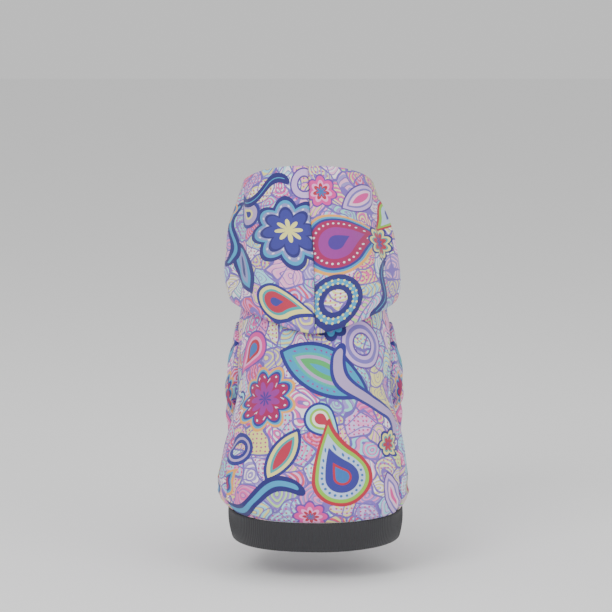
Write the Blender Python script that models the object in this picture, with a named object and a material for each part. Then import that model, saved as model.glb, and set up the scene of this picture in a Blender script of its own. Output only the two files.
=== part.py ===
# A hooded pet jacket in printed jersey, in the form that it has when it is worn by a sitting animal.
# Metres, +Z up, +X to the wearer's right. The back faces -Y and the throat faces +Y.
# The origin is the nape: the middle of the back of the neckline seam, on the cloth's outer face.
import math
from functools import lru_cache

import bmesh
import bpy
from mathutils import Vector

# Driving sizes.
NECK_WIDTH = 0.124
NECK_DEPTH = 0.139
CHEST_WIDTH = 0.172
CHEST_DEPTH = 0.222
HIP_WIDTH = 0.211
HIP_DEPTH = 0.190
HEM_WIDTH = 0.194
HEM_DEPTH = 0.185
BACK_DROP = 0.359  # height from the nape down to the hem seam at the back
BACK_LEAN = 0.200  # how far the lower back lies behind the nape
CLOTH = 0.002  # wall of the printed jersey
BAND_WALL = 0.003  # wall of the folded rib knit
SEAM_GAP = 0.0003  # clearance between two pieces that are sewn together
SLEEVE_GAP = 0.0005  # clearance between the sleeve and the armhole's edge
SECTION_CORNER = 0.035  # how much fuller than an ellipse a section is between its back and its sides
BAND_HEIGHT = 0.033
BAND_TAPER = 0.003  # how far the band's lower edge draws in
HOOD_DROP = 0.192  # depth of the lying hood at the middle of the back
HOOD_FULLNESS = 0.017  # how far the hood's outer layer stands off the back
HOOD_RIM_RISE = 0.006  # how far the hood's edge stands above the neckline
HOOD_ROLL_RISE = 0.007  # height of the small roll that the hood's cloth makes at the neckline
HOOD_ROLL_DEPTH = 0.0062  # how far that roll lays the hood's inner layer off the back
ARMHOLE_HEIGHT = 0.100
ARMHOLE_WIDTH = 0.114
ARMHOLE_ALONG = 0.44  # place of the armhole's middle, from the neckline at 0 to the hem seam at 1
ARMHOLE_ANGLE = math.radians(112)
CUFF_WIDTH = 0.072
SLEEVE_DROP = 0.086  # from the armhole's middle down to the cuff's
SLEEVE_REACH = 0.046  # from the armhole's middle forward to the cuff's
SLEEVE_TUCK = 0.018  # from the armhole's middle inward to the cuff's
SLEEVE_LIFT = 0.0034  # how far the sleeve's cloth stands up round the armhole
SLEEVE_SPREAD = 0.75  # slope at which the sleeve leaves the chest where it presses on it most
SLEEVE_SPREAD_LEAST = 0.25  # share of that slope on the other side of the armhole
SLEEVE_EASE = 0.8  # how far the sleeve leaves the armhole straight towards the cuff, as a share of its run
SLEEVE_PINCH = math.radians(35)  # where round the armhole that is, from its front edge downward
CUFF_TILT = math.radians(14)  # how far the sleeve's end points forward of straight down
FOLD_LENGTH = 0.060
FOLD_WIDTH = 0.015
FOLD_HEIGHT = 0.005
GATHER_HEIGHT = 0.0014
GATHER_COUNT = 16  # gathers round the body above the hem seam
GATHER_START = 0.84  # place along the body where they begin
GATHER_GROW = 0.08  # share of the body over which they grow
GATHER_FADE = 0.03  # share of the body over which they end at the hem seam
GATHER_DRIFT = 1.2  # unevenness of their spacing, in radians
FOLD_FADE = 0.06  # share of the body over which every fold ends at the hem seam
HOOD_FOLD_WIDTH = 0.020
HOOD_FOLD_HEIGHT = 0.007
HOOD_EDGE_AT = 0.58  # place of the lower edge along the hood's profile
HOOD_FOLD_GROW = 0.10  # share of the profile over which its folds grow above the edge
HOOD_FOLD_FADE = 0.05  # share of the profile over which they end at the rim

# Sections of the body, from the neckline (along 0) to the hem seam (along 1).
# drop and lean: the back's place, as shares of BACK_DROP and BACK_LEAN.
# pitch: how steeply the section falls towards the front, in degrees.
# wide and deep: 0 has the neck's size, 1 the chest's, 2 the hips' and 3 the hem's, and others lie between.
# shift: sideways, as a share of CHEST_WIDTH. seam: the side seams' angle from the back, in degrees.
SECTION_COLUMNS = ("along", "drop", "lean", "pitch", "wide", "deep", "shift", "seam")
SECTIONS = (
    (0.00, 0.000, 0.000, 21.0, 0.00, 0.00, -0.038, 66),
    (0.13, 0.131, 0.130, 22.6, 0.54, 0.46, -0.026, 68),
    (0.25, 0.245, 0.315, 24.3, 0.77, 0.88, -0.005, 70),
    (0.43, 0.418, 0.585, 25.2, 1.00, 1.00, 0.004, 72),
    (0.58, 0.565, 0.745, 21.4, 1.00, 1.27, 0.000, 71),
    (0.72, 0.709, 0.865, 15.9, 1.55, 1.73, 0.004, 67),
    (0.80, 0.789, 0.918, 11.5, 1.80, 1.90, -0.002, 65),
    (0.88, 0.873, 0.962, 5.6, 1.97, 2.00, -0.006, 64),
    (0.95, 0.947, 1.000, -0.3, 2.00, 2.00, -0.004, 65),
    (1.00, 1.000, 0.965, -3.1, 3.00, 3.00, 0.008, 67),
)
WIDTHS = (NECK_WIDTH, CHEST_WIDTH, HIP_WIDTH, HEM_WIDTH)
DEPTHS = (NECK_DEPTH, CHEST_DEPTH, HIP_DEPTH, HEM_DEPTH)

# Soft folds of the body: place (angle in degrees from the back, along), turn from level in degrees,
# and length, width and height as shares of the fold sizes. A negative height is a hollow.
BODY_FOLDS = (
    (-50, 0.70, 24, 1.00, 1.00, 0.80),
    (-57, 0.76, 10, 0.90, 0.90, -0.60),
    (-60, 0.83, -6, 0.80, 0.95, 0.55),
    (52, 0.71, -26, 1.00, 1.00, 0.90),
    (60, 0.77, -12, 0.90, 0.90, -0.75),
    (63, 0.83, 8, 0.80, 0.95, 0.60),
    (-30, 0.60, 38, 1.10, 1.20, 0.45),
    (33, 0.62, -36, 1.10, 1.20, 0.45),
    (0, 0.88, 2, 1.40, 1.30, 0.45),
    (-22, 0.81, 12, 1.10, 1.10, -0.35),
    (24, 0.80, -14, 1.10, 1.10, -0.35),
    (-122, 0.72, -30, 0.90, 1.10, 0.70),
    (122, 0.72, 30, 0.90, 1.10, 0.70),
    (180, 0.30, 0, 1.10, 1.30, 0.60),
    (160, 0.84, 15, 1.10, 1.20, 0.60),
    (-158, 0.78, -18, 1.10, 1.20, 0.60),
)

# The hood's lower edge: depth below the neckline, as a share of HOOD_DROP, by angle from the back.
# The first and the last row mirror the ones inside them, so the edge runs level across both seams.
HOOD_EDGE_COLUMNS = ("angle", "depth", "fullness")
HOOD_EDGE = (
    (-20, 0.95, 1.04),
    (0, 1.00, 1.00),
    (20, 0.95, 1.04),
    (45, 0.82, 0.95),
    (65, 0.71, 0.88),
    (90, 0.60, 0.86),
    (120, 0.44, 0.80),
    (150, 0.31, 0.72),
    (180, 0.26, 0.65),
    (210, 0.31, 0.72),
)

# The hood's profile, from the neckline seam over the small roll, down its inner layer, round the
# lower edge and up its outer layer to the rim. down: share of the depth. roll and rim: shares of their
# rises above the neckline. lie and stand: shares of the roll's depth and of the fullness, off the back.
PROFILE_COLUMNS = ("at", "down", "roll", "rim", "lie", "stand")
HOOD_PROFILE = (
    (0.00, 0.000, 0.00, 0.00, -0.24, 0.00),
    (0.04, 0.000, 0.62, 0.00, -0.20, 0.00),
    (0.08, 0.000, 1.00, 0.00, 0.36, 0.00),
    (0.12, 0.012, 0.66, 0.00, 0.86, 0.00),
    (0.20, 0.125, 0.00, 0.00, 0.88, 0.00),
    (0.36, 0.520, 0.00, 0.00, 0.82, 0.00),
    (0.48, 0.880, 0.00, 0.00, 0.80, 0.03),
    (0.54, 0.985, 0.00, 0.00, 0.60, 0.24),
    (0.58, 1.000, 0.00, 0.00, 0.36, 0.56),
    (0.63, 0.930, 0.00, 0.00, 0.10, 0.86),
    (0.74, 0.640, 0.00, 0.00, 0.00, 1.03),
    (0.86, 0.270, 0.00, 0.00, 0.00, 1.00),
    (0.92, 0.115, 0.00, 0.00, 0.00, 0.93),
    (0.96, 0.020, 0.00, 0.25, 0.00, 0.85),
    (1.00, 0.000, 0.00, 1.00, 0.00, 0.76),
)
# Folds of the hood's outer layer: place (angle in degrees, share of the way up), turn from upright,
# length as a share of HOOD_DROP, and width and height as shares of the hood's fold sizes.
HOOD_FOLDS = (
    (60, 0.42, 4, 0.30, 0.75, -0.95),
    (76, 0.38, 0, 0.30, 1.00, 0.70),
    (38, 0.74, -22, 0.26, 1.10, -0.50),
    (18, 0.40, 16, 0.30, 1.30, 0.40),
    (98, 0.55, 6, 0.22, 0.90, -0.60),
    (125, 0.55, 0, 0.20, 1.00, 0.60),
)

# The two sides: name, direction along X, and the sleeve's drop as a share of SLEEVE_DROP.
SIDES = (("left", -1, 1.04), ("right", 1, 0.92))

BODY_STEPS = 24
BACK_STEPS = 20
CHEST_STEPS = 26
HOOD_STEPS = 15
PROFILE_STEPS = 25
SLEEVE_STEPS = 9
ARMHOLE_SIDES = 22
BAND_STEPS = 2
BAND_SIDES = 52
SLEEVE_EDGE = 1 / SLEEVE_STEPS  # share of the sleeve that passes through the armhole
PLUG_DEPTH = 0.020  # reach of the armhole's cutter on each side of the cloth
STEP = 1e-4  # for slopes, in shares
BACK_RUN = math.hypot(BACK_DROP, BACK_LEAN)
CHEST_RADIUS = (CHEST_WIDTH + CHEST_DEPTH) / 4


def smooth(table, columns, name, at):
    """The named column of a table at a place, by a smooth curve through its rows, straight beyond them."""
    places = [row[0] for row in table]
    values = [row[columns.index(name)] for row in table]
    last = len(places) - 1

    def slope(i):
        low = max(i - 1, 0)
        high = min(i + 1, last)
        return (values[high] - values[low]) / (places[high] - places[low])

    if at <= places[0]:
        return values[0] + slope(0) * (at - places[0])
    if at >= places[last]:
        return values[last] + slope(last) * (at - places[last])
    i = max(k for k in range(last) if places[k] <= at)
    span = places[i + 1] - places[i]
    t = (at - places[i]) / span
    start = values[i] * (2 * t**3 - 3 * t**2 + 1) + slope(i) * span * (t**3 - 2 * t**2 + t)
    end = values[i + 1] * (3 * t**2 - 2 * t**3) + slope(i + 1) * span * (t**3 - t**2)
    return start + end


def between(sizes, at):
    """A size that lies between two neighbours of a row of named sizes."""
    at = min(max(at, 0.0), len(sizes) - 1.0)
    low = min(int(at), len(sizes) - 2)
    return sizes[low] + (sizes[low + 1] - sizes[low]) * (at - low)


@lru_cache(maxsize=None)
def section(along):
    """Middle of the back, width, depth and pitch of the body's section at a place along it."""
    row = {name: smooth(SECTIONS, SECTION_COLUMNS, name, along) for name in SECTION_COLUMNS[1:7]}
    back = Vector((row["shift"] * CHEST_WIDTH, -row["lean"] * BACK_LEAN, -row["drop"] * BACK_DROP))
    return back, between(WIDTHS, row["wide"]), between(DEPTHS, row["deep"]), math.radians(row["pitch"])


def side_seam(along):
    """The angle of the side seams from the middle of the back."""
    return math.radians(smooth(SECTIONS, SECTION_COLUMNS, "seam", along))


def smooth_body(along, angle):
    """A point of the body without its folds. The angle is 0 at the back and grows towards the right."""
    back, width, depth, pitch = section(along)
    corner = 1 + SECTION_CORNER * math.sin(2 * angle) ** 2
    across = width / 2 * corner * math.sin(angle)
    inward = depth / 2 * (1 - corner * math.cos(angle))
    return back + Vector((across, inward * math.cos(pitch), -inward * math.sin(pitch)))


def normal_of(surface, u, v):
    """The outward unit normal of a surface whose first place runs down and second turns to the right."""
    down = surface(u + STEP, v) - surface(u - STEP, v)
    turn = surface(u, v + STEP) - surface(u, v - STEP)
    return down.cross(turn).normalized()


def ramp(value, start, over):
    """0 before the start, 1 after the stretch over which it grows, and straight between."""
    return min(max((value - start) / over, 0.0), 1.0)


def ridge(across, along, width, length):
    """A soft ridge: 1 on its middle, and 0 beside and beyond it."""
    return math.exp(-((across / width) ** 2)) * math.exp(-((along / length) ** 4))


def body_fold(along, angle):
    """How far the cloth stands out from the plain body."""
    height = 0.0
    for at_angle, at_along, turn, length, width, share in BODY_FOLDS:
        apart = (angle - math.radians(at_angle) + math.pi) % (2 * math.pi) - math.pi
        level = apart * CHEST_RADIUS
        down = (along - at_along) * BACK_RUN
        turn = math.radians(turn)
        on = level * math.cos(turn) + down * math.sin(turn)
        off = down * math.cos(turn) - level * math.sin(turn)
        height += share * FOLD_HEIGHT * ridge(off, on, width * FOLD_WIDTH, length * FOLD_LENGTH / 2)
    gathered = ramp(along, GATHER_START, GATHER_GROW) * ramp(1.0 - along, 0.0, GATHER_FADE)
    wave = math.cos(GATHER_COUNT * angle + GATHER_DRIFT * math.sin(3 * angle))
    return (height + gathered * GATHER_HEIGHT * wave) * ramp(1.0 - along, 0.0, FOLD_FADE)


def body(along, angle):
    """A point of the body's outer face."""
    return smooth_body(along, angle) + normal_of(smooth_body, along, angle) * body_fold(along, angle)


def section_normal(along, angle):
    """The body's outward direction in the plane of its section, so that a wall's ends stay level."""
    pitch = section(along)[3]
    down = Vector((0, -math.sin(pitch), -math.cos(pitch)))
    out = normal_of(body, along, angle)
    return (out - down * out.dot(down)).normalized()


@lru_cache(maxsize=None)
def hood_profile(at):
    """The columns of the hood's profile at a place along it."""
    return [smooth(HOOD_PROFILE, PROFILE_COLUMNS, name, at) for name in PROFILE_COLUMNS[1:]]


def hood_point(at, angle):
    """A point in the middle of the hood's cloth: round the neck by the angle, and along its profile."""
    side = abs(math.degrees(angle))
    depth = smooth(HOOD_EDGE, HOOD_EDGE_COLUMNS, "depth", side) * HOOD_DROP
    fullness = smooth(HOOD_EDGE, HOOD_EDGE_COLUMNS, "fullness", side) * HOOD_FULLNESS
    down, roll, rim, lie, stand = hood_profile(at)
    below = down * depth - roll * HOOD_ROLL_RISE - rim * HOOD_RIM_RISE - SEAM_GAP
    off = lie * HOOD_ROLL_DEPTH + stand * fullness
    outer = ramp(at, HOOD_EDGE_AT, HOOD_FOLD_GROW) * ramp(1.0 - at, 0.0, HOOD_FOLD_FADE)
    for fold_angle, up, turn, length, width, share in HOOD_FOLDS:
        level = math.radians(side - fold_angle) * CHEST_RADIUS
        rise = (1 - down - up) * depth
        turn = math.radians(turn)
        on = rise * math.cos(turn) + level * math.sin(turn)
        away = level * math.cos(turn) - rise * math.sin(turn)
        fold = ridge(away, on, width * HOOD_FOLD_WIDTH, length * HOOD_DROP)
        off += outer * share * HOOD_FOLD_HEIGHT * fold
    along = below / BACK_RUN
    return smooth_body(along, angle) + normal_of(smooth_body, along, angle) * off


def armhole(sign, turn, scale=1.0):
    """Place on the body of a point of the armhole's edge, as (along, angle). The turn starts in front."""
    along = ARMHOLE_ALONG + scale * ARMHOLE_HEIGHT / 2 / BACK_RUN * math.sin(turn)
    angle = ARMHOLE_ANGLE + scale * ARMHOLE_WIDTH / 2 / CHEST_RADIUS * math.cos(turn)
    return along, sign * angle


@lru_cache(maxsize=None)
def armhole_edge(sign, turn):
    """A point of the armhole's edge, the cloth's outward direction there and the one into the hole."""
    along, angle = armhole(sign, turn)
    edge = body(along, angle)
    inward = (body(*armhole(sign, turn, 0.9)) - edge).normalized()
    return edge, normal_of(smooth_body, along, angle), inward


def sleeve_point(sign, drop_share, turn, at):
    """A point in the middle of the sleeve's cloth, from inside the armhole (0) to the cuff (1).
    The armhole's front edge runs to the cuff's inner side, and its lower edge to the cuff's back."""
    edge, out, inward = armhole_edge(sign, turn)
    start = edge + inward * (SLEEVE_GAP + CLOTH / 2) - out * CLOTH
    lifted = start + out * (CLOTH + SLEEVE_LIFT)
    if at < SLEEVE_EDGE:
        return start.lerp(lifted, at / SLEEVE_EDGE)
    t = (at - SLEEVE_EDGE) / (1 - SLEEVE_EDGE)
    middle = body(ARMHOLE_ALONG, sign * ARMHOLE_ANGLE)
    cuff = middle + Vector((-sign * SLEEVE_TUCK, SLEEVE_REACH, -SLEEVE_DROP * drop_share))
    backward = Vector((0, -math.cos(CUFF_TILT), -math.sin(CUFF_TILT)))
    ring = Vector((-sign * math.cos(turn), 0, 0)) + backward * math.sin(turn)
    end = cuff + ring * (CUFF_WIDTH - CLOTH) / 2
    run = end - lifted
    most = 0.5 + 0.5 * math.cos(turn - SLEEVE_PINCH)
    spread = SLEEVE_SPREAD * (SLEEVE_SPREAD_LEAST + (1 - SLEEVE_SPREAD_LEAST) * most)
    leave = run * SLEEVE_EASE + out * run.length * spread
    arrive = Vector((0, math.sin(CUFF_TILT), -math.cos(CUFF_TILT))) * run.length
    return (
        lifted * (2 * t**3 - 3 * t**2 + 1)
        + leave * (t**3 - 2 * t**2 + t)
        + end * (3 * t**2 - 2 * t**3)
        + arrive * (t**3 - t**2)
    )


def band_point(at, angle):
    """A point of the band's outer face, from the hem seam (0) to its lower edge (1)."""
    back, width, depth, pitch = section(1.0)
    corner = 1 + SECTION_CORNER * math.sin(2 * angle) ** 2
    draw = BAND_TAPER * at**2
    across = (width / 2 * corner - draw) * math.sin(angle)
    inward = depth / 2 - (depth / 2 * corner - draw) * math.cos(angle)
    below = SEAM_GAP + at * BAND_HEIGHT
    down = Vector((0, -math.sin(pitch), -math.cos(pitch)))
    return back + Vector((across, inward * math.cos(pitch), -inward * math.sin(pitch))) + down * below


def material(name, colour, roughness):
    made = bpy.data.materials.new(name)
    made.use_nodes = True
    shader = made.node_tree.nodes["Principled BSDF"]
    shader.inputs["Base Color"].default_value = (*colour, 1.0)
    shader.inputs["Roughness"].default_value = roughness
    shader.inputs["Metallic"].default_value = 0.0
    return made


def finish(name, mesh_data, finish_material):
    """Put a finished bmesh into the scene as a named object."""
    mesh = bpy.data.meshes.new(name)
    bmesh.ops.triangulate(mesh_data, faces=mesh_data.faces)
    mesh_data.to_mesh(mesh)
    mesh_data.free()
    mesh.materials.append(finish_material)
    mesh.shade_smooth()
    made = bpy.data.objects.new(name, mesh)
    bpy.context.scene.collection.objects.link(made)
    return made


def cloth(name, surface, rows, columns, walls, finish_material, closed=False):
    """A cloth wall along a surface, which gives a point and its outward normal for two places from 0
    to 1. walls: how far the outer and the inner face stand off it. closed joins its two side edges."""
    sheet = bmesh.new()
    bmesh.ops.create_grid(sheet, x_segments=rows, y_segments=columns, size=0.5)
    if closed:
        first = {round(v.co.x, 6): v for v in sheet.verts if v.co.y < -0.499}
        last = [v for v in sheet.verts if v.co.y > 0.499]
        bmesh.ops.weld_verts(sheet, targetmap={v: first[round(v.co.x, 6)] for v in last})
    places = {(round(v.co.x, 6), round(v.co.y, 6)): None for v in sheet.verts}
    for place in places:
        places[place] = surface(place[0] + 0.5, place[1] + 0.5)
    outer = list(sheet.verts)
    doubled = bmesh.ops.extrude_face_region(sheet, geom=sheet.faces[:], use_keep_orig=True)
    inner = [part for part in doubled["geom"] if isinstance(part, bmesh.types.BMVert)]
    for verts, off in ((outer, walls[0]), (inner, walls[1])):
        for v in verts:
            point, normal = places[(round(v.co.x, 6), round(v.co.y, 6))]
            v.co = point + normal * off
    bmesh.ops.recalc_face_normals(sheet, faces=sheet.faces)
    if sheet.calc_volume(signed=True) < 0:
        bmesh.ops.reverse_faces(sheet, faces=sheet.faces)
    return finish(name, sheet, finish_material)


def panel(name, over_back, columns, finish_material):
    """The body's cloth over the back or round the chest, half of the seam's gap short of each seam."""
    trim = SEAM_GAP / 2 / (CHEST_WIDTH / 2)

    def surface(u, w):
        half = side_seam(u) - trim if over_back else math.pi - side_seam(u) - trim
        angle = half * (2 * w - 1) + (0 if over_back else math.pi)
        return body(u, angle), section_normal(u, angle)

    return cloth(name, surface, BODY_STEPS, columns, (0.0, -CLOTH), finish_material)


def cut_armhole(chest, sign):
    """Cut one armhole through the chest panel with a closed plug of the armhole's outline. The plug's
    walls reach just past the cloth, and its ends rise to a point on each side of it."""
    plug = bmesh.new()
    rings = []
    centre = (ARMHOLE_ALONG, sign * ARMHOLE_ANGLE)
    for off, pole_off in ((-2 * CLOTH, -PLUG_DEPTH), (CLOTH, PLUG_DEPTH)):
        ring = []
        for i in range(ARMHOLE_SIDES):
            edge, out, _ = armhole_edge(sign, 2 * math.pi * i / ARMHOLE_SIDES)
            ring.append(plug.verts.new(edge + out * off))
        pole = plug.verts.new(body(*centre) + normal_of(body, *centre) * pole_off)
        for i in range(ARMHOLE_SIDES):
            plug.faces.new((ring[i], ring[(i + 1) % ARMHOLE_SIDES], pole))
        rings.append(ring)
    for i in range(ARMHOLE_SIDES):
        after = (i + 1) % ARMHOLE_SIDES
        plug.faces.new((rings[0][i], rings[0][after], rings[1][after], rings[1][i]))
    bmesh.ops.recalc_face_normals(plug, faces=plug.faces)
    cutter = finish("armhole_cutter", plug, chest.data.materials[0])
    cutter.hide_render = True
    cutter.display_type = "WIRE"
    cut = chest.modifiers.new("armhole", "BOOLEAN")
    cut.operation = "DIFFERENCE"
    cut.solver = "EXACT"
    cut.object = cutter


def build_body():
    back = material("printed_jersey_back", (0.22, 0.20, 0.55), 0.8)
    chest_material = material("printed_jersey_chest", (0.45, 0.30, 0.62), 0.8)
    panel("back_panel", True, BACK_STEPS, back)
    chest = panel("chest_panel", False, CHEST_STEPS, chest_material)
    for _, sign, _ in SIDES:
        cut_armhole(chest, sign)


def build_hood():
    for name, sign, _ in SIDES:
        finish_material = material("printed_jersey_hood_" + name, (0.30, 0.28, 0.62), 0.8)
        start = SEAM_GAP / 2 / (NECK_WIDTH / 2)

        def surface(u, w, sign=sign, start=start):
            angle = sign * (start + (math.pi - 2 * start) * w)
            out = -normal_of(hood_point, u, angle)
            if w in (0.0, 1.0):
                out.x = 0.0  # both halves end square to the middle seam
                out.normalize()
            return hood_point(u, angle), out

        cloth(
            "hood_" + name,
            surface,
            PROFILE_STEPS,
            HOOD_STEPS,
            (CLOTH / 2, -CLOTH / 2),
            finish_material,
        )


def build_sleeves():
    for name, sign, drop_share in SIDES:
        finish_material = material("printed_jersey_sleeve_" + name, (0.55, 0.35, 0.66), 0.8)

        def surface(u, w, sign=sign, drop_share=drop_share):
            def tube(at, turn):
                return sleeve_point(sign, drop_share, turn, at)

            turn = 2 * math.pi * w
            return tube(u, turn), normal_of(tube, u, turn) * sign

        cloth(
            "sleeve_" + name,
            surface,
            SLEEVE_STEPS,
            ARMHOLE_SIDES,
            (CLOTH / 2, -CLOTH / 2),
            finish_material,
            closed=True,
        )


def build_band():
    knit = material("rib_knit_band", (0.027, 0.027, 0.027), 0.85)

    def surface(u, w):
        angle = 2 * math.pi * w
        return band_point(u, angle), normal_of(band_point, u, angle)

    cloth("hem_band", surface, BAND_STEPS, BAND_SIDES, (0.0, -BAND_WALL), knit, closed=True)


def main():
    for old in list(bpy.data.objects):
        bpy.data.objects.remove(old, do_unlink=True)
    build_body()
    build_hood()
    build_sleeves()
    build_band()


main()
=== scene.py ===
import math

import bmesh
import bpy
import numpy as np
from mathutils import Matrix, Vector, noise


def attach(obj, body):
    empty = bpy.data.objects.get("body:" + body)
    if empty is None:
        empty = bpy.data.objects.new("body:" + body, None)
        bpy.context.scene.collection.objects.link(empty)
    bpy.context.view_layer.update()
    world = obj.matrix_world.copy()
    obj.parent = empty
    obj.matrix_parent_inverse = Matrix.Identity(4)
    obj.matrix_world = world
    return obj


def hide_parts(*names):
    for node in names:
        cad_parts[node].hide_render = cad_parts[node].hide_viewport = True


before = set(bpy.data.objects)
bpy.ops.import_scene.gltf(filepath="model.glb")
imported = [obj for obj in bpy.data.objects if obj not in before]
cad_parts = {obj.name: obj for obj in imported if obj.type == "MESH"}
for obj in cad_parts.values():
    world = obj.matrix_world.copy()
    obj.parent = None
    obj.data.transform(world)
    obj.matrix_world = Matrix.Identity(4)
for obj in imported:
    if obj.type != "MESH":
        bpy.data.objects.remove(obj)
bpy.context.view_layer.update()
print("frame loaded")

# Sizes of the part, in metres.
size = {
    "widths": (0.124, 0.172, 0.211, 0.194),  # neck, chest, hips and hem
    "depths": (0.139, 0.222, 0.190, 0.185),
    "backDrop": 0.359,
    "backLean": 0.200,
    "cloth": 0.002,
    "bandWall": 0.003,
    "seamGap": 0.0003,
    "sleeveGap": 0.0005,
    "corner": 0.035,
}
backRun = math.hypot(size["backDrop"], size["backLean"])
chestRadius = (size["widths"][1] + size["depths"][1]) / 4
slopeStep = 1e-4

# Sections of the body: along, drop, lean, pitch in degrees, wide, deep, shift, side seam in degrees.
sections = (
    (0.00, 0.000, 0.000, 21.0, 0.00, 0.00, -0.038, 66),
    (0.13, 0.131, 0.130, 22.6, 0.54, 0.46, -0.026, 68),
    (0.25, 0.245, 0.315, 24.3, 0.77, 0.88, -0.005, 70),
    (0.43, 0.418, 0.585, 25.2, 1.00, 1.00, 0.004, 72),
    (0.58, 0.565, 0.745, 21.4, 1.00, 1.27, 0.000, 71),
    (0.72, 0.709, 0.865, 15.9, 1.55, 1.73, 0.004, 67),
    (0.80, 0.789, 0.918, 11.5, 1.80, 1.90, -0.002, 65),
    (0.88, 0.873, 0.962, 5.6, 1.97, 2.00, -0.006, 64),
    (0.95, 0.947, 1.000, -0.3, 2.00, 2.00, -0.004, 65),
    (1.00, 1.000, 0.965, -3.1, 3.00, 3.00, 0.008, 67),
)
# Large folds: angle in degrees from the back, along, turn from level, length, width and height shares.
bodyFolds = (
    (-50, 0.70, 24, 1.00, 1.00, 0.80),
    (-57, 0.76, 10, 0.90, 0.90, -0.60),
    (-60, 0.83, -6, 0.80, 0.95, 0.55),
    (52, 0.71, -26, 1.00, 1.00, 0.90),
    (60, 0.77, -12, 0.90, 0.90, -0.75),
    (63, 0.83, 8, 0.80, 0.95, 0.60),
    (-30, 0.60, 38, 1.10, 1.20, 0.45),
    (33, 0.62, -36, 1.10, 1.20, 0.45),
    (0, 0.88, 2, 1.40, 1.30, 0.45),
    (-22, 0.81, 12, 1.10, 1.10, -0.35),
    (24, 0.80, -14, 1.10, 1.10, -0.35),
    (-122, 0.72, -30, 0.90, 1.10, 0.70),
    (122, 0.72, 30, 0.90, 1.10, 0.70),
    (180, 0.30, 0, 1.10, 1.30, 0.60),
    (160, 0.84, 15, 1.10, 1.20, 0.60),
    (-158, 0.78, -18, 1.10, 1.20, 0.60),
)
foldSize = {"length": 0.060, "width": 0.015, "height": 0.005}
foldFade = 0.06  # share of the length above the hem in which the folds die out
gathers = {"height": 0.0014, "count": 16, "start": 0.84, "grow": 0.08, "fade": 0.03, "drift": 1.2}
# Small folds that the solids leave out, in the same columns; heights are shares of fineFold's.
fineFolds = (
    (-63, 0.50, 62, 1.3, 1.0, 0.9),
    (-66, 0.58, 70, 1.1, 0.8, -0.7),
    (-58, 0.65, 48, 1.2, 0.9, 0.8),
    (-64, 0.79, 20, 1.1, 0.8, 0.9),
    (-55, 0.87, 8, 1.3, 0.8, -0.8),
    (-44, 0.91, -14, 1.0, 0.9, 0.7),
    (64, 0.52, -60, 1.3, 1.0, 0.9),
    (66, 0.60, -72, 1.1, 0.8, -0.7),
    (56, 0.67, -46, 1.2, 0.9, 0.8),
    (66, 0.80, -18, 1.1, 0.8, 0.9),
    (57, 0.88, -6, 1.3, 0.8, -0.8),
    (42, 0.92, 12, 1.0, 0.9, 0.7),
    (8, 0.66, 82, 1.6, 1.6, 0.35),
    (-14, 0.74, 64, 1.5, 1.5, -0.35),
    (92, 0.40, 70, 1.2, 0.9, 0.9),
    (98, 0.60, 40, 1.2, 0.9, -0.9),
    (120, 0.62, 10, 1.3, 1.0, 0.9),
    (140, 0.50, -30, 1.3, 1.0, 0.8),
    (150, 0.62, -20, 1.4, 1.0, -0.8),
    (172, 0.55, 5, 1.5, 1.2, 0.8),
    (-92, 0.40, -70, 1.2, 0.9, 0.9),
    (-98, 0.60, -40, 1.2, 0.9, -0.9),
    (-120, 0.62, -10, 1.3, 1.0, 0.9),
    (-140, 0.50, 30, 1.3, 1.0, 0.8),
    (-150, 0.62, 20, 1.4, 1.0, -0.8),
    (-172, 0.70, -5, 1.5, 1.2, 0.8),
)
fineFold = {"length": 0.040, "width": 0.0065, "height": 0.0014}


def curve(table, column, at):
    # a column of a table over its first one, as a smooth curve that runs on straight past its ends
    places = np.array([row[0] for row in table], float)
    values = np.array([row[column] for row in table], float)
    last = len(places) - 1
    low = np.maximum(np.arange(last + 1) - 1, 0)
    high = np.minimum(np.arange(last + 1) + 1, last)
    slopes = (values[high] - values[low]) / (places[high] - places[low])
    i = np.clip(np.searchsorted(places, at, side="right") - 1, 0, last - 1)
    span = places[i + 1] - places[i]
    t = (at - places[i]) / span
    start = values[i] * (2 * t**3 - 3 * t**2 + 1) + slopes[i] * span * (t**3 - 2 * t**2 + t)
    end = values[i + 1] * (3 * t**2 - 2 * t**3) + slopes[i + 1] * span * (t**3 - t**2)
    before = values[0] + slopes[0] * (at - places[0])
    after = values[last] + slopes[last] * (at - places[last])
    return np.where(at <= places[0], before, np.where(at >= places[last], after, start + end))


def ramp(value, start, over):
    return np.clip((value - start) / over, 0.0, 1.0)


def length(vectors):
    return np.linalg.norm(vectors, axis=-1, keepdims=True)


def widthAt(along):
    return np.interp(curve(sections, 4, along), (0, 1, 2, 3), size["widths"])


def depthAt(along):
    return np.interp(curve(sections, 5, along), (0, 1, 2, 3), size["depths"])


def plainBody(along, angle):
    # the body without its folds; the angle is 0 at the back and grows towards the wearer's right
    shift, lean, drop = (curve(sections, column, along) for column in (6, 2, 1))
    width, depth = widthAt(along), depthAt(along)
    pitch = np.radians(curve(sections, 3, along))
    corner = 1 + size["corner"] * np.sin(2 * angle) ** 2
    across = width / 2 * corner * np.sin(angle)
    inward = depth / 2 * (1 - corner * np.cos(angle))
    return np.stack(
        (
            shift * size["widths"][1] + across,
            -lean * size["backLean"] + inward * np.cos(pitch),
            -drop * size["backDrop"] - inward * np.sin(pitch),
        ),
        -1,
    )


def normalOf(surface, u, v):
    down = surface(u + slopeStep, v) - surface(u - slopeStep, v)
    turn = surface(u, v + slopeStep) - surface(u, v - slopeStep)
    out = np.cross(down, turn)
    return out / length(out)


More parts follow.
